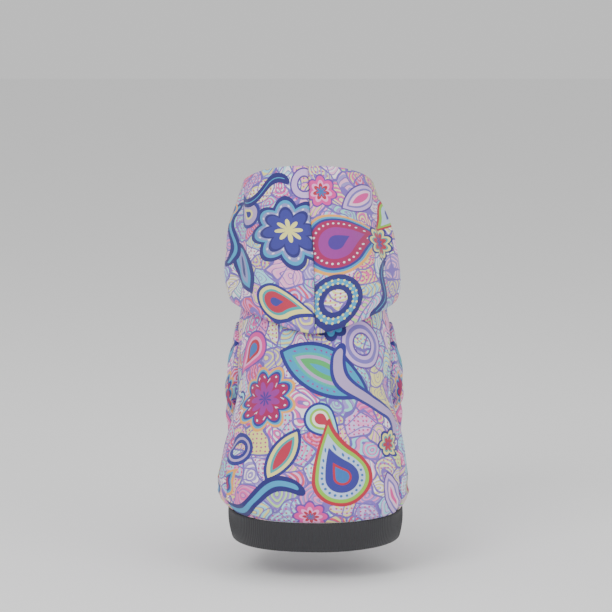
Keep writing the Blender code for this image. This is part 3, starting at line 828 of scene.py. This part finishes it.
def groundGroup():
    # crowded pale cells with rings, dots and thin violet outlines
    tree, given, result = newGroup(
        "paleGround", (("Vector", "NodeSocketVector"),), (("Color", "NodeSocketColor"),)
    )
    flat = given.outputs["Vector"]
    soft = {"Vector": flat, "Scale": groundLook["bendScale"], "Detail": 1.0}
    bend = addNode(tree, "ShaderNodeTexNoise", soft, 1)
    bend = addNode(tree, vectorNode, {0: bend, 1: (0.5, 0.5, 0.5)}, operation="SUBTRACT")
    bend = addNode(tree, vectorNode, {0: bend, "Scale": groundLook["bend"]}, operation="SCALE")
    bent = addNode(tree, vectorNode, {0: flat, 1: bend}, operation="ADD")
    cellScale = 1 / groundLook["cell"]
    near = addNode(
        tree, "ShaderNodeTexVoronoi", {"Vector": bent, "Scale": cellScale}, voronoi_dimensions="2D"
    ).node
    edge = addNode(
        tree,
        "ShaderNodeTexVoronoi",
        {"Vector": bent, "Scale": cellScale},
        voronoi_dimensions="2D",
        feature="DISTANCE_TO_EDGE",
    )
    draws = addNode(tree, "ShaderNodeSeparateColor", {0: near.outputs["Color"]}).node
    first = addRamp(
        tree,
        draws.outputs[0],
        (
            (0.0, "EAE28A"), (0.16, "F5B4DC"), (0.30, "A8E4F0"), (0.42, "D8C0F0"), (0.54, "F0ECA0"),
            (0.64, "8FE0D8"), (0.74, "F08AC4"), (0.84, "F4ECF4"), (0.93, "B8E890"),
        ),
    )
    second = addRamp(
        tree,
        draws.outputs[1],
        (
            (0.0, "E858A8"), (0.18, "9C8CD4"), (0.36, "8FE0F0"), (0.52, "F4F0F8"), (0.66, "F5A0D8"),
            (0.80, "EAE28A"), (0.91, "E04868"),
        ),
    )
    ringing = {0: near.outputs["Distance"], 1: groundLook["rings"]}
    reach = addNode(tree, mathNode, ringing, operation="MULTIPLY")
    rings = addNode(tree, mathNode, {0: reach}, operation="FRACT")
    ringed = addNode(tree, mathNode, {0: rings, 1: 0.5}, operation="GREATER_THAN")
    base = addNode(tree, "ShaderNodeMix", {0: ringed, 6: first, 7: second}, 2, data_type="RGBA")
    line = {0: rings, 1: 0.5, 2: groundLook["ringLine"]}
    ringLine = addNode(tree, mathNode, line, operation="COMPARE")
    chosen = {0: draws.outputs[2], 1: groundLook["plainShare"]}
    someCells = addNode(tree, mathNode, chosen, operation="GREATER_THAN")
    ringLine = addNode(tree, mathNode, {0: ringLine, 1: someCells}, operation="MULTIPLY")
    base = addNode(
        tree, "ShaderNodeMix", {0: ringLine, 6: base, 7: colour("8A62B8")}, 2, data_type="RGBA"
    )
    spots = addNode(
        tree,
        "ShaderNodeTexVoronoi",
        {"Vector": flat, "Scale": 1 / groundLook["dotPitch"], "Randomness": 0.25},
        voronoi_dimensions="2D",
    )
    spots = addNode(tree, mathNode, {0: spots, 1: groundLook["dot"]}, operation="LESS_THAN")
    chosen = {0: draws.outputs[2], 1: groundLook["dottedShare"]}
    spotted = addNode(tree, mathNode, chosen, operation="LESS_THAN")
    spots = addNode(tree, mathNode, {0: spots, 1: spotted}, operation="MULTIPLY")
    base = addNode(tree, "ShaderNodeMix", {0: spots, 6: base, 7: colour("C03A8C")}, 2, data_type="RGBA")
    outline = addNode(tree, mathNode, {0: edge, 1: groundLook["outline"]}, operation="LESS_THAN")
    base = addNode(
        tree, "ShaderNodeMix", {0: outline, 6: base, 7: colour("6E5AB4")}, 2, data_type="RGBA"
    )
    soft = {"Vector": flat, "Scale": groundLook["scrollScale"], "Detail": 0.0}
    hills = addNode(tree, "ShaderNodeTexNoise", soft)
    hills = addNode(tree, mathNode, {0: hills, 1: groundLook["scrolls"]}, operation="MULTIPLY")
    hills = addNode(tree, mathNode, {0: hills}, operation="FRACT")
    line = {0: hills, 1: 0.5, 2: groundLook["scrollLine"]}
    scroll = addNode(tree, mathNode, line, operation="COMPARE")
    base = addNode(
        tree, "ShaderNodeMix", {0: scroll, 6: base, 7: colour("7E62C0")}, 2, data_type="RGBA"
    )
    tree.links.new(base, result.inputs["Color"])
    return tree


ground = groundGroup()

# Motifs, the lowest first: kind, across and up on the flat cloth in mm, turn in degrees, size in mm,
# lobes or bend, palette, then the dots: how deep in mm, how many, their radius in mm and colour.
noDots = (0, 0, 0, None)
backMotifs = (
    ("ring", 62, -196, 0, 30, 0, "orchid", noDots),
    ("paisley", -84, -196, 150, 22, 0.30, "rose", noDots),
    ("leaf", 12, -232, 66, 62, 0.80, "lagoon", (9.0, 22, 1.2, "952E90")),
    ("rosette", -60, -262, 12, 40, 9, "berry", (12.5, 22, 1.25, "EDE6F4")),
    ("ribbon", 66, -262, -58, 70, 3.3, "lilac", noDots),
    ("paisley", 6, -288, -118, 19, 0.30, "spring", noDots),
    ("ring", -92, -322, 0, 22, 0, "lilac", noDots),
    ("rosette", 92, -314, 0, 20, 7, "sun", noDots),
    ("leaf", -34, -330, -28, 36, 0.90, "sun", noDots),
    ("paisley", 30, -356, 38, 34, 0.26, "crimson", (11.8, 22, 1.5, "2F6CB4")),
    ("ribbon", -64, -384, 14, 56, 3.2, "navy", noDots),
    ("rosette", -4, -402, 0, 20, 8, "rose", noDots),
    ("leaf", 96, -384, 20, 36, 0.90, "orchid", noDots),
    ("ring", -112, -258, 0, 16, 0, "spring", noDots),
    ("paisley", -112, -370, -20, 16, 0.3, "berry", noDots),
    ("rosette", 20, -176, 0, 22, 6, "navy", noDots),
)
chestMotifs = (
    ("rosette", 0, -90, 0, 40, 10, "lagoon", (9.0, 20, 1.2, "EDE6F4")),
    ("paisley", -60, -60, 30, 26, 0.28, "crimson", (9.8, 18, 1.2, "2F6CB4")),
    ("ribbon", 66, -86, 24, 50, 3.2, "navy", noDots),
    ("leaf", -150, -90, 14, 46, 0.85, "navy", noDots),
    ("leaf", 152, -96, -16, 46, 0.85, "berry", noDots),
    ("rosette", -148, -232, 0, 26, 7, "navy", noDots),
    ("paisley", 150, -226, 190, 24, 0.28, "navy", noDots),
    ("ribbon", -150, -282, 84, 44, 3.2, "navy", noDots),
    ("ribbon", 150, -286, 96, 44, 3.2, "lilac", noDots),
    ("ring", -146, -342, 0, 24, 0, "navy", noDots),
    ("rosette", 146, -346, 0, 26, 8, "crimson", noDots),
    ("paisley", -152, -386, 10, 20, 0.3, "sun", noDots),
    ("leaf", 156, -390, 30, 30, 0.9, "navy", noDots),
    ("paisley", -30, -190, -40, 34, 0.26, "berry", (12.0, 22, 1.2, "EDE6F4")),
    ("ring", 50, -180, 0, 30, 0, "lilac", noDots),
    ("leaf", 14, -260, 60, 46, 0.85, "lagoon", noDots),
    ("rosette", -62, -290, 0, 30, 9, "sun", noDots),
    ("paisley", 62, -300, 200, 26, 0.28, "rose", noDots),
    ("ribbon", 0, -350, 8, 60, 3.2, "navy", noDots),
    ("rosette", -98, -358, 0, 22, 6, "spring", noDots),
    ("ring", 96, -376, 0, 22, 0, "orchid", noDots),
    ("paisley", -10, -400, 60, 18, 0.3, "crimson", noDots),
)
hoodLeftMotifs = (
    ("rosette", -26, 112, 8, 50, 8, "navy", (13.0, 24, 1.3, "EDE6F4")),
    ("leaf", -92, 62, 30, 44, 0.85, "navy", noDots),
    ("paisley", -84, 138, 62, 20, 0.28, "lilac", noDots),
    ("paisley", -42, 22, -70, 22, 0.30, "sun", noDots),
    ("ribbon", -66, 170, 16, 40, 3.2, "navy", noDots),
    ("ring", -6, 176, 0, 20, 0, "orchid", noDots),
    ("ribbon", -120, 110, 80, 50, 3.2, "navy", noDots),
    ("rosette", -150, 150, 0, 30, 8, "berry", noDots),
    ("paisley", -210, 150, 30, 24, 0.28, "lagoon", noDots),
    ("leaf", -262, 150, 40, 30, 0.9, "crimson", noDots),
    ("ring", -20, -60, 0, 36, 0, "navy", noDots),
)
hoodRightMotifs = (
    ("paisley", 26, 96, -62, 40, 0.24, "berry", (14.0, 26, 1.3, "EDE6F4")),
    ("ring", 22, 28, 0, 30, 0, "navy", (6.8, 22, 1.3, "EAE28A")),
    ("rosette", 96, 96, 0, 28, 9, "sun", noDots),
    ("ribbon", 84, 34, 62, 40, 3.2, "navy", noDots),
    ("leaf", 74, 160, -64, 40, 0.90, "orchid", noDots),
    ("rosette", 16, 166, 0, 22, 7, "rose", noDots),
    ("paisley", 132, 140, 150, 22, 0.28, "crimson", noDots),
    ("ribbon", 170, 130, 30, 44, 3.2, "lilac", noDots),
    ("rosette", 214, 160, 0, 28, 8, "navy", noDots),
    ("paisley", 262, 150, 30, 22, 0.28, "berry", noDots),
    ("leaf", 30, -70, 40, 44, 0.85, "lagoon", noDots),
)
sleeveMotifs = (
    ("leaf", 40, -30, 10, 40, 0.85, "navy", noDots),
    ("ribbon", 84, -36, 84, 40, 3.2, "navy", noDots),
    ("rosette", 130, -40, 0, 26, 8, "berry", noDots),
    ("paisley", 180, -50, 30, 22, 0.28, "lagoon", noDots),
    ("ribbon", 224, -44, 80, 40, 3.2, "lilac", noDots),
    ("rosette", 274, -50, 0, 26, 7, "navy", noDots),
    ("paisley", 318, -40, -20, 20, 0.3, "crimson", noDots),
    ("ring", 60, -90, 0, 18, 0, "sun", noDots),
    ("leaf", 150, -92, 70, 26, 0.9, "rose", noDots),
    ("ring", 250, -94, 0, 20, 0, "navy", noDots),
)

jersey = {
    # knitted loops are about 0.9 mm wide on the real cloth, and drawn 1.3 mm wide so that they show
    "loop": 0.0013,
    "loopDepth": 0.00012,
    "roughness": 0.78,
    "ior": 1.5,
    "sheen": 0.12,
}


def addMotif(tree, flat, below, motif):
    kind, across, up, turned, big, lobes, palette, dots = motif
    local = addNode(
        tree,
        "ShaderNodeMapping",
        {
            "Vector": flat,
            "Location": (across / 1000, up / 1000, 0),
            "Rotation": (0, 0, math.radians(turned)),
        },
        vector_type="TEXTURE",
    )
    shape = tree.nodes.new("ShaderNodeGroup")
    shape.node_tree = shapes[kind]
    tree.links.new(local, shape.inputs["Vector"])
    shape.inputs["Size"].default_value = big / 1000
    shape.inputs["Lobes"].default_value = lobes
    distance = shape.outputs["Distance"]
    deep = {0: distance, 1: -1 / rampSpan, 2: rampEdge}
    inside = addNode(tree, mathNode, deep, operation="MULTIPLY_ADD")
    stops = [(0.0, None)]
    stops += [(rampEdge + depth / 1000 / rampSpan, code) for depth, code in palettes[palette]]
    bands = addRamp(tree, inside, stops).node
    colours = bands.outputs[0]
    depth, count, radius, code = dots
    if code:
        # a row of dots that keeps its distance from the outline
        steps = addNode(tree, mathNode, {0: shape.outputs["Turn"], 1: count}, operation="MULTIPLY")
        steps = addNode(tree, mathNode, {0: steps}, operation="FRACT")
        steps = addNode(tree, mathNode, {0: steps, 1: 0.5}, operation="SUBTRACT")
        pitch = 2 * math.pi / count
        arc = addNode(tree, mathNode, {0: shape.outputs["Radius"], 1: pitch}, operation="MULTIPLY")
        aside = addNode(tree, mathNode, {0: steps, 1: arc}, operation="MULTIPLY")
        level = addNode(tree, mathNode, {0: distance, 1: depth / 1000}, operation="ADD")
        away = addNode(tree, "ShaderNodeCombineXYZ", {0: aside, 1: level})
        away = addNode(tree, vectorNode, {0: away}, 1, operation="LENGTH")
        dotted = addNode(tree, mathNode, {0: away, 1: radius / 1000}, operation="LESS_THAN")
        colours = addNode(
            tree, "ShaderNodeMix", {0: dotted, 6: colours, 7: colour(code)}, 2, data_type="RGBA"
        )
    return addNode(
        tree, "ShaderNodeMix", {0: bands.outputs[1], 6: below, 7: colours}, 2, data_type="RGBA"
    )


def addKnit(tree, flat):
    # fine columns of loops, seen as a faint vertical grain
    turns = 2 * math.pi / jersey["loop"]
    sized = addNode(tree, vectorNode, {0: flat, "Scale": turns}, operation="SCALE")
    parts = addNode(tree, "ShaderNodeSeparateXYZ", {0: sized}).node
    wales = addNode(tree, mathNode, {0: parts.outputs[0]}, operation="SINE")
    courses = addNode(tree, mathNode, {0: parts.outputs[1]}, operation="SINE")
    courses = addNode(tree, mathNode, {0: courses, 1: 0.5}, operation="MULTIPLY")
    loops = addNode(tree, mathNode, {0: wales, 1: courses}, operation="ADD")
    return addNode(
        tree, "ShaderNodeBump", {"Height": loops, "Distance": jersey["loopDepth"], "Strength": 0.6}
    )


def clothMaterial(name):
    made = bpy.data.materials.new(name)
    made.use_nodes = True
    tree = made.node_tree
    shader = tree.nodes["Principled BSDF"]
    flat = addNode(tree, "ShaderNodeUVMap", uv_map="flatCloth")
    shader.inputs["Roughness"].default_value = jersey["roughness"]
    shader.inputs["IOR"].default_value = jersey["ior"]
    shader.inputs["Sheen Weight"].default_value = jersey["sheen"]
    tree.links.new(addKnit(tree, flat), shader.inputs["Normal"])
    return made, tree, shader, flat


def printedJersey(name, motifs, moved):
    # brushed polyester jersey, dye-printed: matt, with crisp flat colours and a faint vertical grain
    made, tree, shader, flat = clothMaterial(name)
    shifted = addNode(tree, "ShaderNodeMapping", {"Vector": flat, "Location": (*moved, 0)})
    back = tree.nodes.new("ShaderNodeGroup")
    back.node_tree = ground
    tree.links.new(shifted, back.inputs["Vector"])
    colours = back.outputs["Color"]
    for motif in motifs:
        colours = addMotif(tree, flat, colours, motif)
    tree.links.new(colours, shader.inputs["Base Color"])
    return made


def jerseyReverse():
    # the unprinted side: off-white, with the print's colours just showing through as a faint mottle
    made, tree, shader, flat = clothMaterial("jerseyReverse")
    mottle = addNode(tree, "ShaderNodeTexNoise", {"Vector": flat, "Scale": 30.0, "Detail": 2.0})
    shades = addNode(
        tree,
        "ShaderNodeMix",
        {0: mottle, 6: colour("D9D2E2"), 7: colour("EFECEF")},
        2,
        data_type="RGBA",
    )
    tree.links.new(shades, shader.inputs["Base Color"])
    return made


rib = {"pitch": 0.0028, "depth": 0.0004, "roughness": 0.85, "sheen": 0.10}


def ribKnit():
    # folded rib knit of near-black polyester cotton: matt, its upright ribs catch a little light
    made, tree, shader, flat = clothMaterial("ribKnitBand")
    parts = addNode(tree, "ShaderNodeSeparateXYZ", {0: flat}).node
    turns = 2 * math.pi / rib["pitch"]
    wave = addNode(tree, mathNode, {0: parts.outputs[0], 1: turns}, operation="MULTIPLY")
    wave = addNode(tree, mathNode, {0: wave}, operation="SINE")
    fuzz = addNode(tree, "ShaderNodeTexNoise", {"Vector": flat, "Scale": 900.0, "Detail": 2.0})
    wave = addNode(tree, mathNode, {0: fuzz, 1: 0.5, 2: wave}, operation="MULTIPLY_ADD")
    ribs = {"Height": wave, "Distance": rib["depth"], "Strength": 0.5}
    bump = addNode(tree, "ShaderNodeBump", ribs)
    tree.links.new(bump, shader.inputs["Normal"])
    shade = addNode(
        tree, "ShaderNodeMix", {0: fuzz, 6: colour("262628"), 7: colour("36363A")}, 2, data_type="RGBA"
    )
    tree.links.new(shade, shader.inputs["Base Color"])
    shader.inputs["Roughness"].default_value = rib["roughness"]
    shader.inputs["Sheen Weight"].default_value = rib["sheen"]
    return made


reverseCloth = jerseyReverse()
for piece, motifs, moved in (
    (backCloth, backMotifs, (0.31, 0.17)),
    (chestCloth, chestMotifs, (0.83, 0.52)),
    (hoodCloths["hoodClothLeft"], hoodLeftMotifs, (0.47, 0.91)),
    (hoodCloths["hoodClothRight"], hoodRightMotifs, (0.65, 0.33)),
    (sleeveCloths["sleeveClothLeft"], sleeveMotifs, (0.12, 0.74)),
    (sleeveCloths["sleeveClothRight"], sleeveMotifs[::-1], (0.95, 0.18)),
):
    piece.data.materials.append(printedJersey("printedJersey_" + piece.name, motifs, moved))
    piece.data.materials.append(reverseCloth)
bandCloth.data.materials.append(ribKnit())
print("materials made")

# Frame: piece, node, flat size and area in metres, how it is held, and what it rests on
tied = (
    (backCloth, "back_panel", (0.27, 0.42), 0.0935, "hung", ()),
    (chestCloth, "chest_panel", (0.42, 0.40), 0.125, "stretched", ("back_panel",)),
    (hoodCloths["hoodClothLeft"], "hood_left", (0.32, 0.34), 0.085, "laid", ("back_panel",)),
    (hoodCloths["hoodClothRight"], "hood_right", (0.32, 0.34), 0.085, "laid", ("back_panel",)),
    (sleeveCloths["sleeveClothLeft"], "sleeve_left", (0.34, 0.13), 0.028, "hung", ("chest_panel",)),
    (sleeveCloths["sleeveClothRight"], "sleeve_right", (0.34, 0.12), 0.026, "hung", ("chest_panel",)),
    (bandCloth, "hem_band", (0.60, 0.033), None, "stretched", ("back_panel", "chest_panel")),
)
for piece, node, flat, area, held, restsOn in tied:
    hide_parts(node)
    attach(piece, "root")
print("pieces tied to the frame")

# Studio
studio = {
    "floor": -0.425,
    "floorSize": 12.0,
    "elevation": 8.0,
    "distance": 5.0,
    "viewWidth": 0.6854,
    "middle": (-0.0090, -0.1456),  # the picture's middle, beside and below the nape
    "sensor": 36,
    "roomLight": 0.75,
}
floorMesh = bmesh.new()
bmesh.ops.create_grid(floorMesh, x_segments=1, y_segments=1, size=studio["floorSize"] / 2)
bmesh.ops.translate(floorMesh, verts=floorMesh.verts, vec=(0, 0, studio["floor"]))
floorData = bpy.data.meshes.new("studioFloor")
floorMesh.to_mesh(floorData)
floorMesh.free()
floor = bpy.data.objects.new("studioFloor", floorData)
bpy.context.scene.collection.objects.link(floor)
paper = bpy.data.materials.new("matteWhitePaper")
paper.use_nodes = True
paperShader = paper.node_tree.nodes["Principled BSDF"]
paperShader.inputs["Base Color"].default_value = colour("F4F4F4")
paperShader.inputs["Roughness"].default_value = 0.95
floorData.materials.append(paper)

tilt = math.radians(studio["elevation"])
look = Vector((0, math.cos(tilt), -math.sin(tilt)))
up = Vector((0, math.sin(tilt), math.cos(tilt)))
target = Vector((1, 0, 0)) * studio["middle"][0] + up * studio["middle"][1]
lens = bpy.data.cameras.new("camera")
lens.sensor_width = studio["sensor"]
lens.lens = studio["sensor"] * studio["distance"] / studio["viewWidth"]
lens.clip_end = 100
camera = bpy.data.objects.new("camera", lens)
bpy.context.scene.collection.objects.link(camera)
camera.location = target - look * studio["distance"]
camera.rotation_euler = look.to_track_quat("-Z", "Y").to_euler()
bpy.context.scene.camera = camera

world = bpy.data.worlds.new("studio")
world.use_nodes = True
world.node_tree.nodes["Background"].inputs[0].default_value = (1, 1, 1, 1)
world.node_tree.nodes["Background"].inputs[1].default_value = studio["roomLight"]
bpy.context.scene.world = world
# soft boxes: name, place, width, watts
for name, place, width, watts in (
    ("keyLight", (-1.3, -2.2, 1.5), 1.4, 42),
    ("fillLight", (1.7, -1.8, 0.6), 1.6, 20),
    ("topLight", (0.0, 0.3, 2.1), 1.6, 16),
):
    lamp = bpy.data.lights.new(name, "AREA")
    lamp.shape = "SQUARE"
    lamp.size = width
    lamp.energy = watts
    holder = bpy.data.objects.new(name, lamp)
    bpy.context.scene.collection.objects.link(holder)
    holder.location = place
    holder.rotation_euler = (target - Vector(place)).to_track_quat("-Z", "Y").to_euler()
print("studio set")
